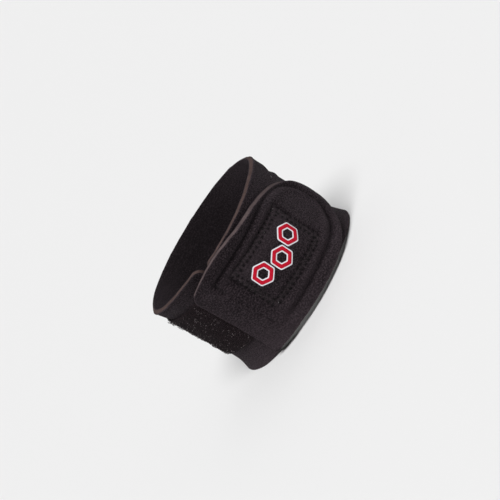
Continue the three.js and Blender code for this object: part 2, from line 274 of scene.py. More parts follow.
def curl_under_flap(arc, height):
    """The band's curl at an arc of the flap, without the step between the band's two ends."""
    plain_end = band_curl(np.maximum(arc, BAND_FROM), height)
    hook_end = band_curl(np.minimum(arc + GIRTH, BAND_TO), height)
    share = smooth((arc - BAND_FROM + GAP_BLEND) / GAP_BLEND)
    return hook_end + (plain_end - hook_end) * share


# The hook tape

TAPE_TO = BAND_TO - TAPE_FROM_END
TAPE_FROM = TAPE_TO - TAPE_LENGTH
TAPE_HIGH = HOOK_END_WIDTH - TAPE_FROM_RIM


def tape_corner(arc):
    return corner_inset(np.minimum(arc - TAPE_FROM, TAPE_TO - arc), TAPE_CORNER)


# The flap

FLAP_END_ARC = FLAP_TIP_ARC - FLAP_LENGTH
TAPE_EDGE_ARC = TAPE_TO - GIRTH

# Its two sides, as shares of its width, along its length from the straight end
FLAP_SIDES = [
    {"along": 0, "low": 0.004, "high": 0.915},
    {"along": 0.08, "low": 0.004, "high": 0.955},
    {"along": 0.17, "low": 0.003, "high": 0.988},
    {"along": 0.3, "low": 0, "high": 1},
    {"along": 0.45, "low": -0.003, "high": 0.962},
    {"along": 0.6, "low": -0.005, "high": 0.931},
    {"along": 0.75, "low": -0.017, "high": 0.912},
    {"along": 1, "low": -0.038, "high": 0.899},
]


def flap_side(arc, side):
    share = (arc - FLAP_END_ARC) / FLAP_LENGTH
    return FLAP_RAISE + FLAP_WIDTH * from_table(FLAP_SIDES, side, share)


def flap_inset(arc):
    at_tip = corner_inset(FLAP_TIP_ARC - arc, FLAP_NOSE, FLAP_NOSE_DEPTH)
    return at_tip + corner_inset(arc - FLAP_END_ARC, FLAP_CORNER)


def flap_low(arc):
    return flap_side(arc, "low") + flap_inset(arc)


def flap_high(arc):
    return flap_side(arc, "high") - flap_inset(arc)


def flap_inner(arc, height):
    step = smooth((TAPE_EDGE_ARC + FLAP_STEP_REACH - arc) / FLAP_STEP_REACH)
    spring = np.maximum(0, 1 - (FLAP_TIP_ARC - arc) / FLAP_TIP_LIFT_REACH) ** 2
    curl = curl_under_flap(arc, height)
    return curl + CLEARANCE + step * (TAPE_THICKNESS + CLEARANCE) + spring * FLAP_TIP_LIFT


PAD_TIP_ARC = FLAP_TIP_ARC - PAD_FROM_TIP
PAD_MIDDLE = FLAP_RAISE + PAD_FROM_SIDE + PAD_WIDTH / 2
SEAM_ARC = FLAP_TIP_ARC - SEAM_FROM_TIP - SEAM_LENGTH / 2
SEAM_MIDDLE = PAD_MIDDLE + SEAM_RISE


def seam_place(along, across):
    """A place in the box seam's tilted frame, from its middle."""
    tilt = math.radians(SEAM_TILT)
    arc = SEAM_ARC + along * math.cos(tilt) + across * math.sin(tilt)
    return arc, SEAM_MIDDLE + across * math.cos(tilt) - along * math.sin(tilt)


def resample(points, pitch, closed=False):
    """Points a pitch apart along a polyline on the flat cloth."""
    points = np.asarray(points, float)
    if closed:
        points = np.vstack([points, points[:1]])
    steps = np.hypot(*np.diff(points, axis=0).T)
    along = np.concatenate([[0], np.cumsum(steps)])
    count = max(2, int(round(along[-1] / pitch)) + 1)
    at = np.linspace(0, along[-1], count)
    return np.stack([np.interp(at, along, points[:, k]) for k in (0, 1)], -1), at


def nearest(arc, height, path):
    """The distance to a densely sampled path, and the nearest sample's number."""
    tree = KDTree(len(path))
    for k, (x, y) in enumerate(path.tolist()):
        tree.insert((x, y, 0), k)
    tree.balance()
    flat = np.stack([np.ravel(arc), np.ravel(height)], -1)
    found = [tree.find((x, y, 0)) for x, y in flat.tolist()]
    number = np.array([f[1] for f in found])
    distance = np.array([f[2] for f in found])
    return distance.reshape(np.shape(arc)), number.reshape(np.shape(arc))


PATH_PITCH = 0.15

# How the flap's face is pressed and sewn
GROOVE_DEPTH = 1.6
GROOVE_HALF = 1.8
RIDGE_HEIGHT = 0.75
RIDGE_FROM_GROOVE = 4.0
RIDGE_HALF = 2.0
MARGIN_SWELL = 0.4
MARGIN_FROM_GROOVE = 4.2
PAD_SWELL = 0.3
END_BEND = 2.6  # radius of the groove's turned-in ends
END_TAIL = 3.2  # how far each runs on after its bend
WRIST_FADE = 22  # over this length the groove dies away towards its wrist-side end
JOIN_DEPTH = 0.4  # the faint broken line from one end of the groove to the other
JOIN_HALF = 0.7
JOIN_SHADE = 0.45
JOIN_SHARE = 0.35
JOIN_BREAK = 0.6
SEAM_BAND = 3.3  # width of the zigzag
SEAM_SINK = 0.3
SEAM_VALLEY = 0.8
SEAM_VALLEY_HALF = 1.3
BOX_PILLOW = 0.55
BOX_PILLOW_REACH = 7
ZIGZAG_PITCH = 2.9
SEAM_CORNER = 1.2
HOLE_DEPTH = 0.6
HOLE_HALF = 0.65
HOLE_SHADE = 0.84  # how far from a needle hole the painted shade reaches
GROOVE_SHADE = 0.62
VALLEY_SHADE = 0.55
END_HIGHLIGHT_FROM_END = 11  # where the painted highlight near the straight end lies
END_HIGHLIGHT_HEIGHT = 4
END_HIGHLIGHT_ALONG = 24
END_HIGHLIGHT_ACROSS = 13
BOX_HIGHLIGHT = 1.0  # how strong the painted highlight is inside the box seam, on its elbow side
BOX_HIGHLIGHT_FROM = 2
BOX_FRINGE = 0.8
# painted highlight along the ridge inside the groove
RIDGE_HIGHLIGHT = 0.6
RIDGE_HIGHLIGHT_FROM_GROOVE = 3.4
RIDGE_HIGHLIGHT_HALF = 1.6
RIDGE_HIGHLIGHT_FROM_TIP = 20
RIDGE_HIGHLIGHT_REACH = 25
GROOVE_AT_ENDS = 0.3  # shares of the groove's, its shade's and the valley's full strength
SHADE_AT_ENDS = 0.35
SHADE_AT_WRIST = 0.6
VALLEY_AT_WRIST = 0.4
GROOVE_LINE = 1.0  # how far the painted shade lines in the groove and the valley reach
VALLEY_LINE = 0.9
VALLEY_FROM_SEAM = 0.6
ELBOW_SIDE_REACH = 8
INNER_SIDE_START = 0.03
INNER_SIDE_REACH = 0.1
SINK_REACH = 1.2
ZIGZAG_FRINGE = 0.3
GATHER = 0.10
GATHER_REACH = 3.0
FLAP_WAVE = 0.10
FLAP_DIMPLE = 0.035
NOSE_STEPS = 120
BEND_STEPS = 12
CORNER_STEPS = 5
LOOK_AHEAD = 0.4  # how far on and back a path's direction is taken
HOLE_INSET = 0.1  # how far inside the zigzag's width its needle holes lie
HOLE_JITTER = {"across": 0.15, "free": 0.18}


def groove_path():
    """The channel from one turned-in end round the nose to the other."""
    nose_arc = PAD_TIP_ARC - PAD_NOSE
    end_arc = PAD_TIP_ARC - PAD_LENGTH
    half = PAD_WIDTH / 2
    angles = np.linspace(0, math.pi, NOSE_STEPS)
    power = 2 / PAD_NOSE_POWER
    along = np.sin(angles) ** power
    cosines = np.cos(angles)
    across = np.sign(cosines) * np.abs(cosines) ** power
    nose = np.stack(
        [nose_arc + PAD_NOSE * along, PAD_MIDDLE - half * across - PAD_NOSE_DROP * along], -1
    )
    bend = np.linspace(0, math.pi / 2, BEND_STEPS)
    low_end = np.stack(
        [
            end_arc + END_BEND * (1 - np.sin(bend)),
            PAD_MIDDLE - half + END_BEND * (1 - np.cos(bend)),
        ],
        -1,
    )[::-1]
    low_tail = [[end_arc, PAD_MIDDLE - half + END_BEND + END_TAIL]]
    high_end = low_end[::-1] * [1, -1] + [0, 2 * PAD_MIDDLE]
    high_tail = [[end_arc, PAD_MIDDLE + half - END_BEND - END_TAIL]]
    return np.vstack([low_tail, low_end, nose, high_end, high_tail])


def seam_box():
    """The box seam's middle line, with slightly rounded corners."""
    length, width = SEAM_LENGTH / 2, SEAM_WIDTH / 2
    places = []
    for corner, (sign_along, sign_across) in enumerate([(1, -1), (1, 1), (-1, 1), (-1, -1)]):
        first = (corner - 1) * math.pi / 2
        for angle in np.linspace(first, first + math.pi / 2, CORNER_STEPS):
            along = sign_along * (length - SEAM_CORNER) + SEAM_CORNER * math.cos(angle)
            across = sign_across * (width - SEAM_CORNER) + SEAM_CORNER * math.sin(angle)
            places.append(seam_place(along, across))
    return places


GROOVE, GROOVE_ALONG = resample(groove_path(), PATH_PITCH)
SEAM, SEAM_ALONG = resample(seam_box(), PATH_PITCH, closed=True)
SEAM_STITCHES = int(round(SEAM_ALONG[-1] / ZIGZAG_PITCH))

flap_wave = ripples(seed=11, length=24)
flap_dimple = ripples(seed=12, length=7)
pucker_wave = ripples(seed=13, length=4.5)
join_wave = ripples(seed=14, length=6)


def along_path(path, at, distance):
    """The place and direction of a closed path at distances along it."""
    def point(at_distance):
        at_distance = np.mod(at_distance, at[-1])
        return np.stack([np.interp(at_distance, at, path[:, k]) for k in (0, 1)], -1)

    distance = np.mod(distance, at[-1])
    along = point(distance + LOOK_AHEAD) - point(distance - LOOK_AHEAD)
    return point(distance), along / np.hypot(*along.T)[:, None]


def needle_holes():
    """The zigzag's needle holes, on one side of the seam and the other by turns."""
    legs = 2 * SEAM_STITCHES
    random = np.random.default_rng(41)
    at = np.arange(legs + 1) * SEAM_ALONG[-1] / legs
    where, along = along_path(SEAM, SEAM_ALONG, at)
    side = np.stack([along[:, 1], -along[:, 0]], -1)
    reach = SEAM_BAND / 2 - HOLE_INSET + random.normal(0, HOLE_JITTER["across"], legs + 1)
    sign = np.where(np.arange(legs + 1) % 2, 1, -1)
    free = random.normal(0, HOLE_JITTER["free"], (legs + 1, 2))
    holes = where + side * (sign * reach)[:, None] + free
    holes[-1] = holes[0]
    return holes


HOLES = needle_holes()


def seam_frame(arc, height):
    """A place in the box seam's tilted frame, along and across from its middle."""
    tilt = math.radians(SEAM_TILT)
    right, up = arc - SEAM_ARC, height - SEAM_MIDDLE
    along = right * math.cos(tilt) - up * math.sin(tilt)
    return along, right * math.sin(tilt) + up * math.cos(tilt)


def inside_seam(arc, height):
    """How far inside the box seam's middle line, or outside it if negative."""
    along, across = seam_frame(arc, height)
    return np.minimum(SEAM_LENGTH / 2 - np.abs(along), SEAM_WIDTH / 2 - np.abs(across))


def inside_channel(arc, height):
    """How far inside the channel's line, as a share of the pad's half width."""
    past = np.maximum(0, arc - PAD_TIP_ARC + PAD_NOSE) / PAD_NOSE
    across = np.abs(height - PAD_MIDDLE + PAD_NOSE_DROP * past) / (PAD_WIDTH / 2)
    return 1 - (across**PAD_NOSE_POWER + past**PAD_NOSE_POWER) ** (1 / PAD_NOSE_POWER)


def groove_strength(number):
    """How strong the groove is at its samples: it dies away at its two ends."""
    from_wrist_end = GROOVE_ALONG[number]
    from_elbow_end = GROOVE_ALONG[-1] - from_wrist_end
    return smooth(from_wrist_end / WRIST_FADE) * smooth(from_elbow_end / (END_TAIL + END_BEND))


def join_line(arc, height):
    """The broken line between the groove's two ends, from 0 to 1."""
    between_ends = smooth((PAD_WIDTH / 2 - np.abs(height - PAD_MIDDLE)) / END_BEND)
    broken = smooth(JOIN_SHARE + JOIN_BREAK * join_wave(arc, height))
    return bell(arc - PAD_TIP_ARC + PAD_LENGTH, JOIN_HALF) * between_ends * broken


class Pressed:
    """Where places of the flap's face lie among its groove, box seam and needle holes."""

    def __init__(self, arc, height):
        self.from_groove, number = nearest(arc, height, GROOVE)
        self.strength = groove_strength(number)
        self.join = join_line(arc, height)
        self.from_seam, _ = nearest(arc, height, SEAM)
        self.from_hole, _ = nearest(arc, height, HOLES)
        self.in_box = inside_seam(arc, height)
        self.from_valley = self.in_box + SEAM_BAND / 2 + VALLEY_FROM_SEAM
        self.above = seam_frame(arc, height)[1]
        self.elbow_side = smooth(self.above / ELBOW_SIDE_REACH)
        inside = inside_channel(arc, height)
        self.inner_side = smooth((inside + INNER_SIDE_START) / INNER_SIDE_REACH)


def flap_relief(arc, height):
    """How far the flap's face stands out of its even thickness."""
    at = Pressed(arc, height)
    across = np.abs(height - PAD_MIDDLE) / (PAD_WIDTH / 2)
    along = np.abs(arc - PAD_TIP_ARC + PAD_LENGTH / 2) / (PAD_LENGTH / 2)
    swell = PAD_SWELL * (1 - smooth(across)) * (1 - smooth(along) ** 2)
    groove = GROOVE_DEPTH * bell(at.from_groove, GROOVE_HALF) * at_least(GROOVE_AT_ENDS, at.strength)
    ridge = RIDGE_HEIGHT * bell(at.from_groove - RIDGE_FROM_GROOVE, RIDGE_HALF)
    margin = MARGIN_SWELL * bell(at.from_groove - MARGIN_FROM_GROOVE, RIDGE_HALF)
    beside = (ridge * at.inner_side + margin * (1 - at.inner_side)) * at.strength
    valley = SEAM_VALLEY * bell(at.from_valley, SEAM_VALLEY_HALF)
    valley = valley * at_least(VALLEY_AT_WRIST, at.elbow_side)
    sink = SEAM_SINK * smooth((SEAM_BAND / 2 + SINK_REACH - at.from_seam) / SINK_REACH)
    pillow = BOX_PILLOW * smooth(at.in_box / BOX_PILLOW_REACH)
    gather = GATHER * pucker_wave(arc, height) * bell(at.from_seam, GATHER_REACH)
    hole = HOLE_DEPTH * bell(at.from_hole, HOLE_HALF)
    even = FLAP_WAVE * flap_wave(arc, height) + FLAP_DIMPLE * flap_dimple(arc, height)
    raised = swell + beside + pillow + gather + even
    return raised - groove - JOIN_DEPTH * at.join - valley - sink - hole


def flap_marks(arc, height):
    """How much a place has painted shade, painted sheen on the zigzag and painted highlights, each
    from 0 to 1.
    """
    at = Pressed(arc, height)
    groove = GROOVE_SHADE * bell(at.from_groove, GROOVE_LINE) * at_least(SHADE_AT_ENDS, at.strength)
    up_the_pad = smooth((height - PAD_MIDDLE) / PAD_WIDTH + 0.5)
    groove = groove * at_least(SHADE_AT_WRIST, up_the_pad)
    valley = VALLEY_SHADE * bell(at.from_valley, VALLEY_LINE) * at.elbow_side
    hole = bell(at.from_hole, HOLE_SHADE)
    # painted shade in the groove, the valley, the join line and round the needle holes
    dark = np.maximum.reduce([hole, groove, JOIN_SHADE * at.join, valley])
    # painted sheen of the thread over the zigzag's band
    zigzag = smooth((SEAM_BAND / 2 + ZIGZAG_FRINGE - at.from_seam) / (2 * ZIGZAG_FRINGE))
    # painted highlight near the straight end's wrist-side corner
    wear_and_highlight = bell(arc - FLAP_END_ARC - END_HIGHLIGHT_FROM_END, END_HIGHLIGHT_ALONG)
    wear_and_highlight = wear_and_highlight * bell(height - END_HIGHLIGHT_HEIGHT, END_HIGHLIGHT_ACROSS)
    # painted highlight inside the box seam, on its elbow side
    box = BOX_HIGHLIGHT * smooth((at.in_box + SEAM_BAND / 2) / BOX_FRINGE)
    box = box * smooth((at.above - BOX_HIGHLIGHT_FROM) / ELBOW_SIDE_REACH)
    past_nose = smooth((PAD_TIP_ARC - arc - RIDGE_HIGHLIGHT_FROM_TIP) / RIDGE_HIGHLIGHT_REACH)
    # painted highlight along the ridge inside the groove
    ridge = RIDGE_HIGHLIGHT * bell(at.from_groove - RIDGE_HIGHLIGHT_FROM_GROOVE, RIDGE_HIGHLIGHT_HALF)
    ridge = ridge * at.inner_side * past_nose
    return np.stack([dark, zigzag, np.maximum.reduce([wear_and_highlight, box, ridge])], -1)


def flap_face(arc, height):
    return flap_inner(arc, height) + FLAP_THICKNESS + flap_relief(arc, height)


# Meshes

def add_object(name, data):
    added = bpy.data.objects.new(name, data)
    bpy.context.scene.collection.objects.link(added)
    return added


def make_object(name, points, faces, materials, zones=None, smooth_angle=None, **attributes):
    """A mesh from points, in metres, and faces. attributes are numbers or vectors a point."""
    mesh = bpy.data.meshes.new(name)
    mesh.from_pydata(points.tolist(), [], faces)
    for material in materials:
        mesh.materials.append(material)
    if zones is not None:
        mesh.polygons.foreach_set("material_index", np.asarray(zones, np.int32))
    for key, values in attributes.items():
        values = np.asarray(values, np.float32)
        kind, field = ("FLOAT_VECTOR", "vector") if values.ndim == 2 else ("FLOAT", "value")
        attribute = mesh.attributes.new(key, kind, "POINT")
        attribute.data.foreach_set(field, values.ravel())
    mesh.polygons.foreach_set("use_smooth", np.ones(len(mesh.polygons), bool))
    if smooth_angle is not None:
        mesh.set_sharp_from_angle(angle=math.radians(smooth_angle))
    mesh.validate()
    mesh.update()
    return add_object(name, mesh)


def graded(start, end, fine, coarse, reach):
    """Numbers from start to end that lie fine near both ends and coarse between them."""
    edge = np.arange(0, reach, fine)
    middle = np.linspace(start + reach, end - reach, int(round((end - start - 2 * reach) / coarse)))
    return np.concatenate([start + edge, middle, (end - edge)[::-1]])


LEAST_END_STEPS = 6
END_STEPS = 1.6  # how much closer the stations lie in a rounded end


def rounded_stations(start, end, start_length, end_length, pitch):
    """Stations along a piece, close together in its rounded ends."""
    def ends(length):
        steps = max(LEAST_END_STEPS, int(round(END_STEPS * length / pitch)))
        return length * (1 - np.cos(np.linspace(0, math.pi / 2, steps, endpoint=False)))

    count = int(round((end - start - start_length - end_length) / pitch)) + 1
    middle = np.linspace(start + start_length, end - end_length, count)
    return np.concatenate([start + ends(start_length), middle, (end - ends(end_length))[::-1]])


def perimeter(rows, columns):
    """The grid's border as a closed loop of (row, column)."""
    loop = [(i, 0) for i in range(rows)]
    loop += [(rows - 1, j) for j in range(1, columns)]
    loop += [(i, columns - 1) for i in range(rows - 2, -1, -1)]
    loop += [(0, j) for j in range(columns - 2, 0, -1)]
    return np.array(loop)


def drop(distance, radius, depth):
    """How far a rounded edge has fallen, at a distance from it."""
    share = 1 - np.clip(distance / radius, 0, 1)
    return depth * (1 - np.sqrt(1 - share * share))


# Shares of the thickness at which a cut edge has lines, and how far it bulges there
EDGE_LINES = [
    {"share": 0.10, "bulge": 0.10},
    {"share": 0.16, "bulge": 0.02},
    {"share": 0.33, "bulge": 0.10},
    {"share": 0.55, "bulge": 0.13},
    {"share": 0.78, "bulge": 0.08},
    {"share": 0.86, "bulge": 0.02},
    {"share": 0.92, "bulge": 0.08},
]
FACE_ZONE, CORE_ZONE, LINING_ZONE = 0, 1, 2
EDGE_ZONES = [FACE_ZONE] * 2 + [CORE_ZONE] * 4 + [LINING_ZONE] * 2
EDGE_ROUNDING = (0.9, 0.35)  # how far in from a cut edge the two faces round off, and how deep
TAPE_ROUNDING = (0.5, 0.25)
EDGE_JITTER = 0.07
EDGE_WANDER = 9
LEAST_HEIGHT = 0.3
SHARP_ANGLE = 50


def cut_sheet(name, arcs, shares, low, high, face, back, slant, materials, edge, seed, marks=None):
    """A closed piece of foam-cored cloth with its cut edges.

    low and high give its sides at an arc, face and back the lifts of its two faces at a
    place, and slant how far the cut draws the outer face in at the low side, the high side
    and the ends. edge is the rounding of the two faces towards the cut, as radius and depth.
    marks gives a vector at each place of the outer face for its material.
    """
    shares = np.asarray(shares)
    start, end = arcs[0], arcs[-1]
    wander = ripples(seed, EDGE_WANDER)
    low_side, high_side = low(arcs)[:, None], high(arcs)[:, None]

    def grid(draw_low, draw_high, draw_ends):
        squeezed = start + draw_ends + (arcs - start) * (1 - 2 * draw_ends / (end - start))
        floor, top = low_side + draw_low, high_side - draw_high
        top = np.maximum(top, floor + LEAST_HEIGHT)
        heights = floor + shares[None, :] * (top - floor)
        return np.repeat(squeezed[:, None], len(shares), 1), heights

    rows, columns = len(arcs), len(shares)
    loop = perimeter(rows, columns)
    grids = [grid(*slant), grid(0, 0, 0)]
    at_border = tuple(loop.T)
    jitter = EDGE_JITTER * wander(*[values[at_border] for values in grids[1]])
    borders, flats, lifts, distances = [], [], [], []
    for (arc, height), lift, sign in zip(grids, (face, back), (1, -1)):
        border = np.stack([arc[at_border], height[at_border]], -1)
        dense, _ = resample(border, PATH_PITCH, closed=True)
        distance, _ = nearest(arc, height, dense)
        flats.append(np.stack([arc.ravel(), height.ravel()], -1))
        lifts.append(lift(arc, height) - sign * drop(distance, *edge))
        borders.append(border)
        distances.append(distance)
    count = rows * columns
    lift = [np.ravel(values) for values in lifts]
    depth = [np.zeros(count), np.ones(count)]
    wear = [np.ravel(values) for values in distances]
    ahead = np.roll(borders[1], -1, 0) - np.roll(borders[1], 1, 0)
    out = np.stack([ahead[:, 1], -ahead[:, 0]], -1)
    out /= np.maximum(np.hypot(*out.T), 1e-9)[:, None]
    border_lift = [values[at_border] for values in lifts]
    for line in EDGE_LINES:
        t = line["share"]
        middle = borders[0] * (1 - t) + borders[1] * t
        flats.append(middle + out * (line["bulge"] + jitter)[:, None])
        lift.append(border_lift[0] * (1 - t) + border_lift[1] * t)
        depth.append(np.full(len(loop), t))
        wear.append(np.zeros(len(loop)))
    flat, lift = np.vstack(flats), np.concatenate(lift)
    flat[:, 1] = np.maximum(flat[:, 1], 0)
    points = place(*flat.T, lift)
    number = np.arange(count).reshape(rows, columns)
    corners = [number[:-1, :-1], number[1:, :-1], number[1:, 1:], number[:-1, 1:]]
    over = np.stack(corners, -1).reshape(-1, 4)
    under = over[:, [0, 3, 2, 1]] + count
    faces = over.tolist() + under.tolist()
    zones = [FACE_ZONE] * len(over) + [LINING_ZONE] * len(under)
    rings = [number[at_border]]
    for k in range(len(EDGE_LINES)):
        rings.append(2 * count + k * len(loop) + np.arange(len(loop)))
    rings.append(number[at_border] + count)
    for ring, after, zone in zip(rings, rings[1:], EDGE_ZONES):
        strip = np.stack([ring, after, np.roll(after, -1), np.roll(ring, -1)], -1)
        faces += strip.tolist()
        zones += [zone] * len(strip)
    extra = {}
    if marks is not None:
        extra["marks"] = np.zeros((len(flat), 3))
        extra["marks"][:count] = marks(flat[:count, 0], flat[:count, 1])
    cloth = np.column_stack([flat, np.concatenate(depth)])
    extra["edge"] = np.concatenate(wear)
    return make_object(name, points, faces, materials, zones, SHARP_ANGLE, cloth=cloth, **extra)


def tubes(name, paths, radii, across, sides, materials, **attributes):
    """Small round tubes along paths on the cloth. paths is (tubes, points, 3), radii one
    number or (tubes, points), and across a direction square to each tube."""
    paths = np.asarray(paths, float)
    count, steps, _ = paths.shape
    along = np.gradient(paths, axis=1)
    along /= np.linalg.norm(along, axis=2, keepdims=True) + 1e-9
    side = np.cross(along, np.broadcast_to(across, paths.shape))
    side /= np.linalg.norm(side, axis=2, keepdims=True) + 1e-9
    third = np.cross(side, along)
    angles = np.arange(sides) * TURN / sides
    ring = (
        side[:, :, None, :] * np.cos(angles)[:, None]
        + third[:, :, None, :] * np.sin(angles)[:, None]
    )
    flat = paths[:, :, None, :] + ring * np.broadcast_to(radii, (count, steps))[:, :, None, None]
    flat = flat.reshape(-1, 3)
    points = place(*flat.T)
    number = np.arange(count * steps * sides).reshape(count, steps, sides)
    after = np.roll(number, -1, 2)
    walls = np.stack([number[:, :-1], after[:, :-1], after[:, 1:], number[:, 1:]], -1)
    faces = walls.reshape(-1, 4).tolist() + number[:, 0, ::-1].tolist() + number[:, -1].tolist()
    spread = {key: np.repeat(value, steps * sides) for key, value in attributes.items()}
    return make_object(name, points, faces, materials, None, None, cloth=flat, **spread)


# Materials

class Graph:
    """A material's nodes, made one call each."""

    def __init__(self, name):
        self.material = bpy.data.materials.new(name)
        self.material.use_nodes = True
        self.tree = self.material.node_tree
        self.shader = self.tree.nodes["Principled BSDF"]

    def add(self, kind, *inputs, **settings):
        """A node's first output. inputs are its sockets in order, None to skip one."""
        node = self.tree.nodes.new("ShaderNode" + kind)
        output = settings.pop("output", 0)
        named = settings.pop("named", {})
        for key, value in settings.items():
            setattr(node, key, value)
        for number, value in list(enumerate(inputs)) + list(named.items()):
            self.put(node.inputs[number], value)
        return node.outputs[output]

    def put(self, socket, value):
        """Gives a socket a link, a colour or a number, or leaves it alone for None."""
        if isinstance(value, bpy.types.NodeSocket):
            self.tree.links.new(value, socket)
        elif isinstance(value, tuple) and socket.type == "RGBA":
            socket.default_value = (*value, 1)
        elif value is not None:
            socket.default_value = value

    def math(self, operation, *inputs, **settings):
        return self.add("Math", *inputs, operation=operation, **settings)

    def attribute(self, name, output="Vector"):
        return self.add("Attribute", attribute_name=name, output=output)

    def plus(self, base, value, times):
        return self.math("MULTIPLY_ADD", value, times, base)

    def noise(self, where, scale, detail, roughness):
        return self.add(
            "TexNoise", where, named={"Scale": scale, "Detail": detail, "Roughness": roughness}
        )

    def ranged(self, value, between, gives):
        return self.add("MapRange", value, *between, *gives)

    def ramp(self, value, *stops):
        """A colour from a value, through stops of (place, colour)."""
        socket = self.add("ValToRGB", value)
        ramp = socket.node.color_ramp
        for number, (where, colour) in enumerate(stops):
            known = number < len(ramp.elements)
            element = ramp.elements[number] if known else ramp.elements.new(where)
            element.position = where
            element.color = (*colour, 1)
        return socket

    def mix(self, share, first, second, kind="MIX"):
        node = self.tree.nodes.new("ShaderNodeMix")
        node.data_type = "RGBA"
        node.blend_type = kind
        for number, value in ((0, share), (6, first), (7, second)):
            self.put(node.inputs[number], value)
        return node.outputs[2]

    def finish(self, colour, roughness, specular, relief=None, depth=0, strength=0, **more):
        """The material, once its colour, gloss and relief are joined to the shader."""
        if relief is not None:
            more["Normal"] = self.add(
                "Bump", named={"Strength": strength, "Distance": depth, "Height": relief}
            )
        more.update(Base_Color=colour, Roughness=roughness, Specular_IOR_Level=specular)
        for key, value in more.items():
            self.put(self.shader.inputs[key.replace("_", " ")], value)
        return self.material


JERSEY = (0.0078, 0.0052, 0.0066)
JERSEY_LIGHT = (0.062, 0.0465, 0.0540)
PAINTED_SHADE = (0.0022, 0.0016, 0.0019)
ZIGZAG_SHEEN = (0.038, 0.0305, 0.0330)
LINING = (0.0115, 0.0086, 0.0100)
LINING_LIGHT = (0.036, 0.028, 0.032)
BAND_CORE = (0.098, 0.065, 0.060)
BAND_CORE_DARK = (0.050, 0.033, 0.031)
FLAP_CORE = (0.122, 0.091, 0.092)
FLAP_CORE_DARK = (0.066, 0.049, 0.050)
TAPE_BASE = (0.0050, 0.0027, 0.0036)
HOOK_DARK = (0.0060, 0.0034, 0.0044)
HOOK = (0.031, 0.020, 0.0235)
HOOK_BRIGHT = (0.25, 0.22, 0.225)
GLINT_AND_LINT_GREY = (0.120, 0.105, 0.110)
THREAD_DARK = (0.0055, 0.0040, 0.0046)
LINT = (0.42, 0.40, 0.42)
RED = (0.56, 0.004, 0.026)
RED_DARK = (0.44, 0.003, 0.018)
WHITE = (0.82, 0.82, 0.86)
WHITE_DARK = (0.70, 0.70, 0.75)
KNIT_COLUMN = 0.62  # width of a column of knitted loops
KNIT_COURSE = 0.46  # height of one loop
KNIT_SLANT = 1.5
KNIT_RIB = 0.6
PAINTED_LIGHT_AT_LOW_RIM = 0.12  # painted light: the cloth is painted paler towards the low rim and darker towards the high rim
PAINTED_LIGHT_AT_HIGH_RIM = -0.09


def knit_height(graph, cloth, column, course):
    """The relief of a fine jersey knit, as columns of small V shapes."""
    parts = graph.add("SeparateXYZ", cloth)
    node = parts.node
    u = graph.math("DIVIDE", node.outputs[0], column)
    v = graph.math("DIVIDE", node.outputs[1], course)
    fold = graph.math("PINGPONG", u, 0.5)
    slanted = graph.plus(v, fold, times=KNIT_SLANT)
    loop = graph.math("SINE", graph.math("MULTIPLY", slanted, TURN))
    rib = graph.math("SINE", graph.math("MULTIPLY", u, TURN))
    return graph.plus(loop, rib, times=KNIT_RIB)


def jersey(name, colour, light, column=KNIT_COLUMN, course=KNIT_COURSE):
    """Fine knitted cloth with a fuzzy, speckled face. Its marks are painted shade, a painted sheen
    on the zigzag and painted highlights; it is painted paler towards the low rim and darker towards
    the high rim.
    """
    graph = Graph(name)
    cloth = graph.attribute("cloth")
    marks = graph.add("SeparateXYZ", graph.attribute("marks")).node.outputs
    knit = knit_height(graph, cloth, column, course)
    grain = graph.noise(cloth, scale=1.15, detail=1, roughness=0.5)
    patch = graph.noise(cloth, scale=0.16, detail=3, roughness=0.6)
    fuzz = graph.noise(cloth, scale=3.6, detail=2, roughness=0.7)
    speck = graph.noise(cloth, scale=1.35, detail=0, roughness=0.5)
    edge = graph.attribute("edge", "Fac")
    height = graph.add("SeparateXYZ", cloth, output=1)
    mixed = graph.plus(grain, patch, times=0.3)
    mixed = graph.plus(mixed, fuzz, times=0.2)
    mixed = graph.plus(mixed, knit, times=0.02)
    share = graph.ranged(mixed, between=(0.66, 0.92), gives=(0.0, 0.62))
    # real wear here: the cloth is paler near its cut edges
    wear_and_highlight = graph.ranged(edge, between=(0.0, 1.1), gives=(0.25, 0.0))
    fleck = graph.ranged(speck, between=(0.70, 0.80), gives=(0.0, 0.9))
    # painted light and shade: paler towards the low rim, darker towards the high rim
    painted_light_by_height = graph.ranged(height, between=(0.0, BAND_WIDTH), gives=(PAINTED_LIGHT_AT_LOW_RIM, PAINTED_LIGHT_AT_HIGH_RIM))
    for extra in (wear_and_highlight, fleck, painted_light_by_height):
        share = graph.math("ADD", share, extra)
    zigzag_sheen = graph.ranged(grain, between=(0.35, 0.7), gives=(0.0, 0.75))
    base = graph.ramp(share, (0.0, colour), (1.0, light))
    # painted sheen over the zigzag's band
    base = graph.mix(graph.math("MULTIPLY", marks[1], zigzag_sheen), base, ZIGZAG_SHEEN)
    # painted highlights: near the straight end, in the box seam, along the ridge and on the band's
    # low rim
    base = graph.mix(graph.math("MULTIPLY", marks[2], 0.3), base, light)
    relief = graph.plus(graph.math("MULTIPLY", knit, 0.3), grain, times=1.8)
    return graph.finish(
        # painted shade in the grooves, the valley, the join line and round the needle holes
        colour=graph.mix(marks[0], base, PAINTED_SHADE),
        roughness=0.85,
        specular=0.08,
        relief=graph.plus(relief, fuzz, times=0.9),
        depth=0.00036,
        strength=0.9,
        Sheen_Weight=0.12,
        Sheen_Roughness=0.4,
        Sheen_Tint=(0.62, 0.50, 0.57),
    )


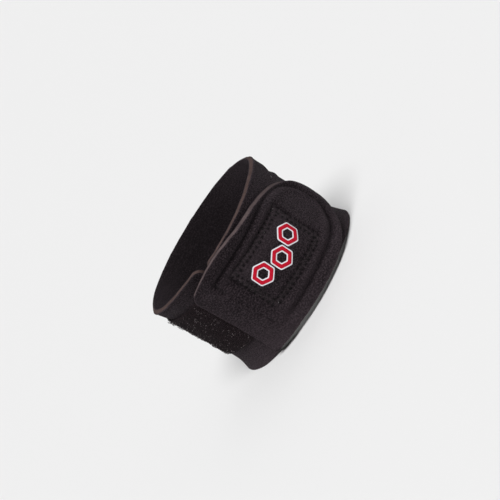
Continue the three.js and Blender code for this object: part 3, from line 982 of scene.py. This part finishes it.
def foam(name, colour, dark):
    """The foam core where it is cut."""
    graph = Graph(name)
    cloth = graph.attribute("cloth")
    pores = graph.add("TexVoronoi", cloth, named={"Scale": 4.5})
    grain = graph.noise(cloth, scale=2.2, detail=3, roughness=0.7)
    patch = graph.noise(cloth, scale=0.25, detail=2, roughness=0.5)
    mixed = graph.plus(graph.math("MULTIPLY", patch, 0.6), grain, times=0.8)
    share = graph.ranged(mixed, between=(0.5, 0.95), gives=(0.0, 1.0))
    return graph.finish(
        colour=graph.ramp(share, (0.0, dark), (1.0, colour)),
        roughness=0.9,
        specular=0.1,
        relief=graph.plus(grain, pores, times=1.0),
        depth=0.0001,
        strength=0.6,
    )


def tape_base():
    graph = Graph("hook_tape_ground")
    cloth = graph.attribute("cloth")
    weave = knit_height(graph, cloth, column=0.8, course=0.5)
    grain = graph.noise(cloth, scale=1.2, detail=1, roughness=0.5)
    share = graph.ranged(grain, between=(0.40, 0.62), gives=(0.0, 1.0))
    return graph.finish(
        colour=graph.ramp(share, (0.0, TAPE_BASE), (1.0, HOOK)),
        roughness=0.8,
        specular=0.12,
        relief=graph.plus(weave, grain, times=1.5),
        depth=0.00015,
        strength=0.6,
    )


def hook_plastic():
    graph = Graph("hook_plastic")
    grain = graph.noise(graph.attribute("cloth"), scale=0.9, detail=1, roughness=0.5)
    blotch = graph.ranged(grain, between=(0.40, 0.62), gives=(0.0, 0.45))
    shine = graph.math("ADD", graph.attribute("shine", "Fac"), blotch)
    return graph.finish(
        colour=graph.ramp(shine, (0.0, HOOK_DARK), (0.75, HOOK), (1.0, HOOK_BRIGHT)),
        roughness=graph.ranged(shine, between=(0.0, 1.0), gives=(0.7, 0.45)),
        specular=0.2,
    )


def thread():
    graph = Graph("sewing_thread")
    cloth = graph.attribute("cloth")
    twist = graph.add("TexWave", cloth, named={"Scale": 1.4, "Distortion": 0.6})
    patch = graph.noise(cloth, scale=0.7, detail=3, roughness=0.7)
    # the thread is dark; its few pale patches are painted glints
    glint = graph.ranged(patch, between=(0.58, 0.68), gives=(0.0, 0.95))
    share = graph.plus(glint, twist, times=0.04)
    return graph.finish(
        colour=graph.ramp(share, (0.0, THREAD_DARK), (1.0, GLINT_AND_LINT_GREY)),
        roughness=0.6,
        specular=0.2,
        relief=twist,
        depth=0.00005,
        strength=0.5,
    )


def lint_fibre():
    graph = Graph("lint_fibre")
    grain = graph.noise(graph.attribute("cloth"), scale=2.0, detail=2, roughness=0.6)
    # lint's own grey tones; the darker one is the grey of the thread's painted glints
    colour = graph.ramp(grain, (0.0, GLINT_AND_LINT_GREY), (1.0, LINT))
    return graph.finish(colour, roughness=0.8, specular=0.1)


def printed(name, colour, dark):
    graph = Graph(name)
    cloth = graph.attribute("cloth")
    knit = knit_height(graph, cloth, KNIT_COLUMN, KNIT_COURSE)
    grain = graph.noise(cloth, scale=1.2, detail=3, roughness=0.6)
    share = graph.ranged(grain, between=(0.3, 0.7), gives=(0.0, 1.0))
    return graph.finish(
        colour=graph.ramp(share, (0.0, dark), (1.0, colour)),
        roughness=0.6,
        specular=0.15,
        relief=graph.plus(graph.math("MULTIPLY", knit, 0.2), grain, times=1.2),
        depth=0.00008,
        strength=0.5,
    )


band_materials = [
    jersey("band_jersey", JERSEY, JERSEY_LIGHT),
    foam("band_core", BAND_CORE, BAND_CORE_DARK),
    jersey("band_lining", LINING, LINING_LIGHT, column=0.75, course=0.6),
]
flap_materials = [
    jersey("flap_jersey", JERSEY, JERSEY_LIGHT),
    foam("flap_core", FLAP_CORE, FLAP_CORE_DARK),
    jersey("flap_lining", LINING, LINING_LIGHT, column=0.75, course=0.6),
]


# The band's piece

CREASE_FROM_RIM = 2.8
CREASE_WANDER = 0.5
CREASE_DEPTH = 0.4
CREASE_HALF = 0.9
CREASE_LEAST = 0.6  # the crease's share of its depth away from the hook end
CREASE_FADE = (85, 25)  # where it starts to fade before the hook end, and over what length
BAND_WAVE = 0.12
BAND_DIMPLE = 0.03
BACK_WAVE = 0.1

# Bulges and creases of the band's face: where, how far they reach along and across, how high
BAND_FOLDS = [
    {"arc": 71, "height": 55, "along": 9, "across": 3.6, "lift": 0.9},
    {"arc": 68, "height": 49.8, "along": 9, "across": 1.1, "lift": -0.55},
    {"arc": 71, "height": 47, "along": 8, "across": 2.0, "lift": 0.7},
    {"arc": -45, "height": 58, "along": 5, "across": 2.6, "lift": 0.45},
]

band_wave = ripples(seed=21, length=30)
band_dimple = ripples(seed=22, length=8)


def band_face(arc, height):
    below_rim = band_width(arc) - height
    near_hook_end = smooth(1 - (BAND_TO - arc - CREASE_FADE[0]) / CREASE_FADE[1])
    wander = CREASE_FROM_RIM + CREASE_WANDER * band_dimple(arc, 0 * height)
    crease = CREASE_DEPTH * bell(below_rim - wander, CREASE_HALF)
    soft = BAND_WAVE * band_wave(arc, height) + BAND_DIMPLE * band_dimple(arc, height)
    for fold in BAND_FOLDS:
        along = bell(around(arc, fold["arc"]), fold["along"])
        soft = soft + fold["lift"] * along * bell(height - fold["height"], fold["across"])
    return band_curl(arc, height) + soft - crease * at_least(CREASE_LEAST, near_hook_end)


def band_back(arc, height):
    return band_curl(arc, height) - BAND_THICKNESS + BACK_WAVE * band_wave(arc, height)


RIM_HIGHLIGHT_ARC = -40  # where a painted highlight lies on the band's low rim, in front
RIM_HIGHLIGHT_REACH = 16
RIM_HIGHLIGHT_HEIGHT = 5.5


def band_marks(arc, height):
    """The same marks as the flap's, of which the band has only the painted highlight."""
    along = bell(around(arc, RIM_HIGHLIGHT_ARC), RIM_HIGHLIGHT_REACH)
    rim_highlight = along * bell(height - band_low_rim(arc), RIM_HIGHLIGHT_HEIGHT)
    return np.stack([0 * rim_highlight, 0 * rim_highlight, rim_highlight], -1)


SLANT_AT_ENDS = 0.3  # the high rim's cut there, as a share of what it is round the back
SLANT_REACH = 75

band_arcs = rounded_stations(BAND_FROM, BAND_TO, END_CORNER, END_CORNER, 0.95)
from_end = np.minimum(band_arcs - BAND_FROM, BAND_TO - band_arcs)
band_high_slant = RIM_SLANT * at_least(SLANT_AT_ENDS, smooth(from_end / SLANT_REACH))
band_shares = graded(0, BAND_WIDTH, 0.3, 0.95, 2.4) / BAND_WIDTH
band = cut_sheet(
    "band_cloth",
    band_arcs,
    band_shares,
    band_low,
    band_high,
    band_face,
    band_back,
    (0, band_high_slant[:, None], CUT_SLANT),
    band_materials,
    edge=EDGE_ROUNDING,
    seed=31,
    marks=band_marks,
)

# The flap's piece

FLAP_HIGH_SLANT = 0.5
FLAP_SLANT_GROWTH = 1.7
FLAP_SLANT_REACH = 0.7
FLAP_END_SLANT = 0.25

flap_arcs = rounded_stations(FLAP_END_ARC, FLAP_TIP_ARC, FLAP_CORNER, FLAP_NOSE, 0.42)
flap_shares = graded(0, FLAP_WIDTH, 0.25, 0.42, 2.0) / FLAP_WIDTH
flap_share = (flap_arcs - FLAP_END_ARC) / FLAP_LENGTH
flap_high_slant = FLAP_HIGH_SLANT + FLAP_SLANT_GROWTH * smooth(flap_share / FLAP_SLANT_REACH)
flap = cut_sheet(
    "flap_cloth",
    flap_arcs,
    flap_shares,
    flap_low,
    flap_high,
    flap_face,
    flap_inner,
    (CUT_SLANT, flap_high_slant[:, None], FLAP_END_SLANT),
    flap_materials,
    edge=EDGE_ROUNDING,
    seed=32,
    marks=flap_marks,
)

# The zigzag stitches of the box seam

THREAD_RADIUS = 0.16
STITCH_POINTS = 7
STITCH_SINK = 0.35  # how deep a stitch's ends lie under the flap's face
STITCH_RISE = 0.7  # how high its middle stands over the face, in thread radii


def zigzag_paths():
    shares = np.linspace(0, 1, STITCH_POINTS)
    first, second = HOLES[:-1, None, :], HOLES[1:, None, :]
    flat = first * (1 - shares)[:, None] + second * shares[:, None]
    arch = np.sin(math.pi * shares) ** 0.5
    middle = flap_face(flat[..., 0], flat[..., 1])
    middle = np.repeat(np.median(middle, axis=1)[:, None], STITCH_POINTS, 1)
    lift = middle - STITCH_SINK + (STITCH_SINK + THREAD_RADIUS * STITCH_RISE) * arch
    return np.concatenate([flat, lift[..., None]], -1)


stitches = tubes("box_seam_stitches", zigzag_paths(), THREAD_RADIUS, (0, 0, 1), 5, [thread()])

# The hook tape's woven ground and its hooks

GROUND_THICKNESS = 0.65
GROUND_BACK = 0.12
HOOK_PITCH = 1.12
ROW_PITCH = 0.87  # from one row of hooks to the next, in hook pitches
HOOK_RADIUS = 0.11
HOOK_TAPER = 0.75
FIRST_HOOK = {"along": 1.2, "up": 1.0}  # where the rows of hooks start inside the tape
LAST_HOOK = 0.8
HOOK_INSET = 0.7  # no hook stands nearer to the tape's outline
SHINE_SPREAD = (0.7, 2.6)  # most hooks are dull and a few shine
SHINE_CLUMP = 0.06
HOOK_JITTER = 0.14
HOOK_TILT = 0.16
HOOK_TURN = {"clump": 0.55, "own": 0.45}
HOOK_SIZE = {"middle": 0.64, "clump": 0.11, "own": 0.09, "least": 0.3, "most": 1.05}
PRESSED_HOOK = 0.7  # the tallest hook under the flap
PRESSED_REACH = 2.5  # how far before the flap's end the hooks are pressed
HOOK_STEPS = [
    {"out": 0, "up": -0.1},
    {"out": 0.02, "up": 0.35},
    {"out": 0.06, "up": 0.68},
    {"out": 0.22, "up": 0.93},
    {"out": 0.47, "up": 0.97},
    {"out": 0.63, "up": 0.78},
    {"out": 0.66, "up": 0.55},
]


def ground_face(arc, height):
    return band_curl(arc, height) + CLEARANCE + GROUND_THICKNESS


def ground_back(arc, height):
    return band_curl(arc, height) + GROUND_BACK


ground_material = tape_base()
ground = cut_sheet(
    "hook_tape_ground",
    rounded_stations(TAPE_FROM, TAPE_TO, TAPE_CORNER, TAPE_CORNER, 1.0),
    graded(0, TAPE_WIDTH, 0.3, 1.0, 1.2) / TAPE_WIDTH,
    lambda arc: TAPE_HIGH - TAPE_WIDTH + tape_corner(arc),
    lambda arc: TAPE_HIGH - tape_corner(arc),
    ground_face,
    ground_back,
    (0, 0, 0),
    [ground_material] * 3,
    edge=TAPE_ROUNDING,
    seed=33,
)


def hook_field():
    random = np.random.default_rng(51)
    arcs = np.arange(TAPE_FROM + FIRST_HOOK["along"], TAPE_TO - LAST_HOOK, HOOK_PITCH)
    lowest = TAPE_HIGH - TAPE_WIDTH + FIRST_HOOK["up"]
    rows = np.arange(lowest, TAPE_HIGH - LAST_HOOK, HOOK_PITCH * ROW_PITCH)
    arc, height = np.meshgrid(arcs, rows, indexing="ij")
    arc = arc + (np.arange(len(rows)) % 2) * HOOK_PITCH / 2
    arc, height = arc.ravel(), height.ravel()
    arc = arc + random.normal(0, HOOK_JITTER, len(arc))
    height = height + random.normal(0, HOOK_JITTER, len(arc))
    inside = np.minimum(arc - TAPE_FROM, TAPE_TO - arc)
    margin = tape_corner(arc) + HOOK_INSET
    low = TAPE_HIGH - TAPE_WIDTH + margin
    keep = (inside > HOOK_INSET) & (height > low) & (height < TAPE_HIGH - margin)
    arc, height = arc[keep], height[keep]
    count = len(arc)
    clump = ripples(seed=52, length=5.5)(arc, height)
    yaw = random.choice([0, math.pi], count) + HOOK_TURN["clump"] * clump
    yaw = yaw + random.normal(0, HOOK_TURN["own"], count)
    size = HOOK_SIZE["middle"] + HOOK_SIZE["clump"] * clump
    size = size + random.normal(0, HOOK_SIZE["own"], count)
    size = np.clip(size, HOOK_SIZE["least"], HOOK_SIZE["most"])
    under_flap = arc - GIRTH > FLAP_END_ARC - PRESSED_REACH
    size = np.where(under_flap, np.minimum(size, PRESSED_HOOK), size)
    out = np.array([row["out"] for row in HOOK_STEPS])
    up = np.array([row["up"] for row in HOOK_STEPS])
    tilt = random.normal(0, HOOK_TILT, (count, 2))
    reach = size[:, None] * out
    rise = size[:, None] * up
    base = ground_face(arc, height)
    paths = np.stack(
        [
            arc[:, None] + reach * np.cos(yaw)[:, None] + rise * tilt[:, :1],
            height[:, None] + reach * np.sin(yaw)[:, None] + rise * tilt[:, 1:],
            base[:, None] + rise,
        ],
        -1,
    )
    across = np.stack([-np.sin(yaw), np.cos(yaw), 0 * yaw], -1)[:, None, :]
    radii = HOOK_RADIUS * np.linspace(1.0, HOOK_TAPER, len(HOOK_STEPS))
    shine = np.clip(random.beta(*SHINE_SPREAD, count) + SHINE_CLUMP * clump, 0, 1)
    return paths, radii, across, shine


hooks, radii, across, shine = hook_field()
hooks = tubes("hook_tape_hooks", hooks, radii, across, 4, [hook_plastic()], shine=shine)

# The fluff that the hooks have caught, and lint on the cloth

FLUFF_CLUMPS = 34
FLUFF_STRANDS = 9
FLUFF_POINTS = 6
FLUFF_RADIUS = 0.07
FLUFF_BEND = 1.3
FLUFF_LENGTH = (0.9, 2.6)
FLUFF_SPREAD = (0.2, 0.9)
FLUFF_FROM = 2  # how far the fluff stays from the tape's start, its end and its two sides
FLUFF_TO = 18
FLUFF_INSET = 0.5
FLUFF_FOOT = 0.3  # how far over the tape's ground a strand lies
FLUFF_ARCH = (0.1, 0.75)  # the part of half a wave that a strand's arch is
FLUFF_TOP = (0.4, 0.95)
LINT_RADIUS = 0.12
LINT_BEND = 0.9
LINT_FOOT = 0.15
LINT_RISE = 0.1
FLUFF_SHINE = (0.0, 0.6)
TUFT_SHINE = 0.1
TUFT_EXTRA = 0.25
TUFTS = [
    {"arc": -73, "height": 52.5, "spread": 0.35},
    {"arc": -72, "height": 47, "spread": 0.35},
]
LINT_AT = [
    {"arc": 61, "height": 49.5, "length": 1.6, "turn": 0.3},
    {"arc": 32.5, "height": 45.6, "length": 0.9, "turn": 1.9},
    {"arc": -10.2, "height": 18.4, "length": 0.8, "turn": 0.7},
    {"arc": -62, "height": 30, "length": 1.0, "turn": 2.6},
    {"arc": 150, "height": 40, "length": 1.3, "turn": 1.1},
    {"arc": 205, "height": 22, "length": 1.1, "turn": 0.2},
]


def fluff_paths():
    random = np.random.default_rng(61)
    count = FLUFF_CLUMPS * FLUFF_STRANDS
    low, high = TAPE_HIGH - TAPE_WIDTH + FLUFF_INSET, TAPE_HIGH - FLUFF_INSET
    middle_arc = random.uniform(TAPE_FROM + FLUFF_FROM, TAPE_TO - FLUFF_TO, FLUFF_CLUMPS)
    middle_height = random.uniform(low, high, FLUFF_CLUMPS)
    spread = random.uniform(*FLUFF_SPREAD, FLUFF_CLUMPS)
    for number, tuft in enumerate(TUFTS):
        middle_arc[number] = tuft["arc"] + GIRTH
        middle_height[number] = tuft["height"]
        spread[number] = tuft["spread"]
    arc = np.repeat(middle_arc, FLUFF_STRANDS)
    height = np.repeat(middle_height, FLUFF_STRANDS)
    spread = np.repeat(spread, FLUFF_STRANDS)
    arc = arc + spread * random.normal(0, 1, count)
    height = height + spread * random.normal(0, 1, count)
    heading = random.uniform(0, TURN, count)
    bend = random.normal(0, FLUFF_BEND, count)
    length = random.uniform(*FLUFF_LENGTH, count)
    top = random.uniform(*FLUFF_TOP, count)
    top[:len(TUFTS) * FLUFF_STRANDS] += TUFT_EXTRA
    steps = np.linspace(0, 1, FLUFF_POINTS)
    turn = heading[:, None] + bend[:, None] * steps
    pitch = length[:, None] / FLUFF_POINTS
    x = arc[:, None] + np.cumsum(np.cos(turn), 1) * pitch
    y = height[:, None] + np.cumsum(np.sin(turn), 1) * pitch
    arch = np.sin(math.pi * (FLUFF_ARCH[0] + FLUFF_ARCH[1] * steps))
    lift = ground_face(x, y) + FLUFF_FOOT + top[:, None] * arch
    shine = random.uniform(*FLUFF_SHINE, FLUFF_CLUMPS)
    shine[:len(TUFTS)] = TUFT_SHINE
    shine = np.repeat(shine, FLUFF_STRANDS)
    keep = np.all(x - GIRTH < FLAP_END_ARC - 1.0, axis=1)
    return np.stack([x, y, lift], -1)[keep], shine[keep]


fluff, shine = fluff_paths()
fluff = tubes("hook_tape_fluff", fluff, FLUFF_RADIUS, (0, 0, 1), 3, [hook_plastic()], shine=shine)


def lint_paths():
    steps = np.linspace(0, 1, FLUFF_POINTS)
    paths = []
    for row in LINT_AT:
        turn = row["turn"] + LINT_BEND * steps
        pitch = row["length"] / FLUFF_POINTS
        arc = row["arc"] + np.cumsum(np.cos(turn)) * pitch
        height = row["height"] + np.cumsum(np.sin(turn)) * pitch
        on_flap = FLAP_END_ARC < row["arc"] < FLAP_TIP_ARC and row["height"] < flap_high(row["arc"])
        face = flap_face(arc, height) if on_flap else band_face(arc % GIRTH, height)
        paths.append(np.stack([arc, height, face + LINT_FOOT + LINT_RISE * steps], -1))
    return np.array(paths)


lint = tubes("lint", lint_paths(), LINT_RADIUS, (0, 0, 1), 4, [lint_fibre()])

# The badge

CORNER_POWER = 22
RING_CORNERS = 6
RING_SHARP_ANGLE = 60
RING_POINTS = 180
WHITE_LINE = 0.65
RING_WHITE_SECTION = [
    {"from_outside": 0, "lift": -0.15},
    {"from_outside": 0, "lift": 0.06},
    {"from_outside": 0.12, "lift": 0.14},
    {"from_outside": 0.5, "lift": 0.16},
]
RING_RED_SECTION = [
    {"from_outside": 0, "lift": 0.10},
    {"from_outside": 0.02, "lift": 0.20},
    {"from_outside": 0.16, "lift": 0.27},
    {"from_outside": 0.5, "lift": 0.30},
]


def hexagon_radius(angle, apothem):
    corners = np.zeros_like(angle)
    for k in range(RING_CORNERS):
        away = angle - k * TURN / RING_CORNERS
        corners = corners + np.maximum(0, np.cos(away)) ** CORNER_POWER
    return apothem / corners ** (1 / CORNER_POWER)


def ring_piece(name, place_in_row, section, outer, wall, material):
    """One hexagonal ring printed on the flap, from half of its section."""
    rows = [(row["from_outside"] * wall, row["lift"]) for row in section]
    rows += [(wall - inset, lift) for inset, lift in reversed(rows[:-1])]
    angle = np.arange(RING_POINTS) * TURN / RING_POINTS
    centre = (place_in_row - (RINGS - 1) / 2) * RING_PITCH
    stagger = -RING_STAGGER if place_in_row % 2 else RING_STAGGER
    stretch = 1 + (FLAP_THICKNESS + PAD_RISE) / (GIRTH / TURN)
    flats = []
    for inset, lift in rows:
        radius = hexagon_radius(angle, apothem=outer - inset)
        along = (centre + radius * np.cos(angle)) / stretch
        arc, height = seam_place(along, stagger + radius * np.sin(angle))
        flats.append(np.stack([arc, height, flap_face(arc, height) + lift], -1))
    flat = np.vstack(flats)
    points = place(*flat.T)
    number = np.arange(len(points)).reshape(len(rows), RING_POINTS)
    after = np.roll(number, -1, 1)
    walls = [after, number, np.roll(number, -1, 0), np.roll(after, -1, 0)]
    faces = np.stack(walls, -1).reshape(-1, 4).tolist()
    return make_object(name, points, faces, [material], None, RING_SHARP_ANGLE, cloth=flat)


red_print = printed("badge_red", RED, RED_DARK)
white_print = printed("badge_white", WHITE, WHITE_DARK)
badges = []
for number in range(RINGS):
    apothem = RING_ACROSS / 2
    white = ring_piece(
        f"badge_white_{number + 1}", number, RING_WHITE_SECTION, apothem, RING_WALL, white_print
    )
    red = ring_piece(
        f"badge_red_{number + 1}",
        number,
        RING_RED_SECTION,
        apothem - WHITE_LINE,
        RING_WALL - 2 * WHITE_LINE,
        red_print,
    )
    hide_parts(f"badge_ring_{number + 1}")
    badges += [white, red]

# What the pieces ride on and stand for

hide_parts("band")
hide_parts("closing_flap")
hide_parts("hook_tape")
for piece in [band, flap, ground, hooks, fluff, lint, stitches, *badges]:
    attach(piece, "root")

# The floor, the light and the camera

FLOOR_SIZE = 40.0
FLOOR_GREY = (0.80, 0.80, 0.80)
BACKDROP_GREY = (0.88, 0.88, 0.88)
AMBIENT = 0.06

floor_mesh = bpy.data.meshes.new("floor")
half = FLOOR_SIZE / 2
floor_mesh.from_pydata(
    [(-half, -half, 0), (half, -half, 0), (half, half, 0), (-half, half, 0)], [], [(0, 1, 2, 3)]
)
floor = add_object("floor", floor_mesh)
paper = Graph("floor_paper").finish(FLOOR_GREY, roughness=0.8, specular=0.1)
floor_mesh.materials.append(paper)

world = bpy.data.worlds.new("studio")
world.use_nodes = True
nodes, links = world.node_tree.nodes, world.node_tree.links
ambient = nodes["Background"]
ambient.inputs["Color"].default_value = (1, 1, 1, 1)
ambient.inputs["Strength"].default_value = AMBIENT
backdrop = nodes.new("ShaderNodeBackground")
backdrop.inputs["Color"].default_value = (*BACKDROP_GREY, 1)
seen = nodes.new("ShaderNodeLightPath")
either = nodes.new("ShaderNodeMixShader")
links.new(seen.outputs["Is Camera Ray"], either.inputs[0])
links.new(ambient.outputs[0], either.inputs[1])
links.new(backdrop.outputs[0], either.inputs[2])
links.new(either.outputs[0], nodes["World Output"].inputs["Surface"])
bpy.context.scene.world = world

# Broad soft lights: the way each stands from the object and how wide it looks, in degrees
LIGHTS = [
    {"name": "key", "azimuth": -8, "elevation": 60, "width": 40, "power": 3.2},
    {"name": "side", "azimuth": 75, "elevation": 25, "width": 60, "power": 0.1},
    {"name": "back", "azimuth": 165, "elevation": 45, "width": 70, "power": 0.65},
]

for row in LIGHTS:
    lamp = bpy.data.lights.new(row["name"], "SUN")
    lamp.energy = row["power"]
    lamp.angle = math.radians(row["width"])
    azimuth, elevation = math.radians(row["azimuth"]), math.radians(row["elevation"])
    way = Vector(
        (
            math.sin(azimuth) * math.cos(elevation),
            -math.cos(azimuth) * math.cos(elevation),
            math.sin(elevation),
        )
    )
    holder = add_object(row["name"], lamp)
    holder.location = way
    holder.rotation_mode = "QUATERNION"
    holder.rotation_quaternion = (-way).to_track_quat("-Z", "Y")

CAMERA_ELEVATION = math.radians(13.5)
CAMERA_ROLL = math.radians(58.6)
CAMERA_DISTANCE = 1.5
CAMERA_LENS = 196
CAMERA_SENSOR = 36
PICTURE = 500
TARGET = Vector((SHIFT[0], SHIFT[1], 30)) * MILLIMETRE
TARGET_PIXEL = (253.2, 264.4)

pixel = CAMERA_DISTANCE * CAMERA_SENSOR / CAMERA_LENS / PICTURE
up_flat = Vector((0, math.sin(CAMERA_ELEVATION), math.cos(CAMERA_ELEVATION)))
right_flat = Vector((1, 0, 0))
back = Vector((0, -math.cos(CAMERA_ELEVATION), math.sin(CAMERA_ELEVATION)))
right = math.cos(CAMERA_ROLL) * right_flat - math.sin(CAMERA_ROLL) * up_flat
up = math.sin(CAMERA_ROLL) * right_flat + math.cos(CAMERA_ROLL) * up_flat
aside = (PICTURE / 2 - TARGET_PIXEL[0]) * pixel
above = (TARGET_PIXEL[1] - PICTURE / 2) * pixel
camera_data = bpy.data.cameras.new("camera")
camera_data.lens = CAMERA_LENS
camera_data.sensor_width = CAMERA_SENSOR
camera_data.clip_end = 100
camera = add_object("camera", camera_data)
place_of_camera = TARGET + back * CAMERA_DISTANCE + right * aside + up * above
axes = Matrix((right, up, back)).transposed().to_4x4()
camera.matrix_world = Matrix.Translation(place_of_camera) @ axes
bpy.context.scene.camera = camera
bpy.context.scene.view_settings.view_transform = "Standard"
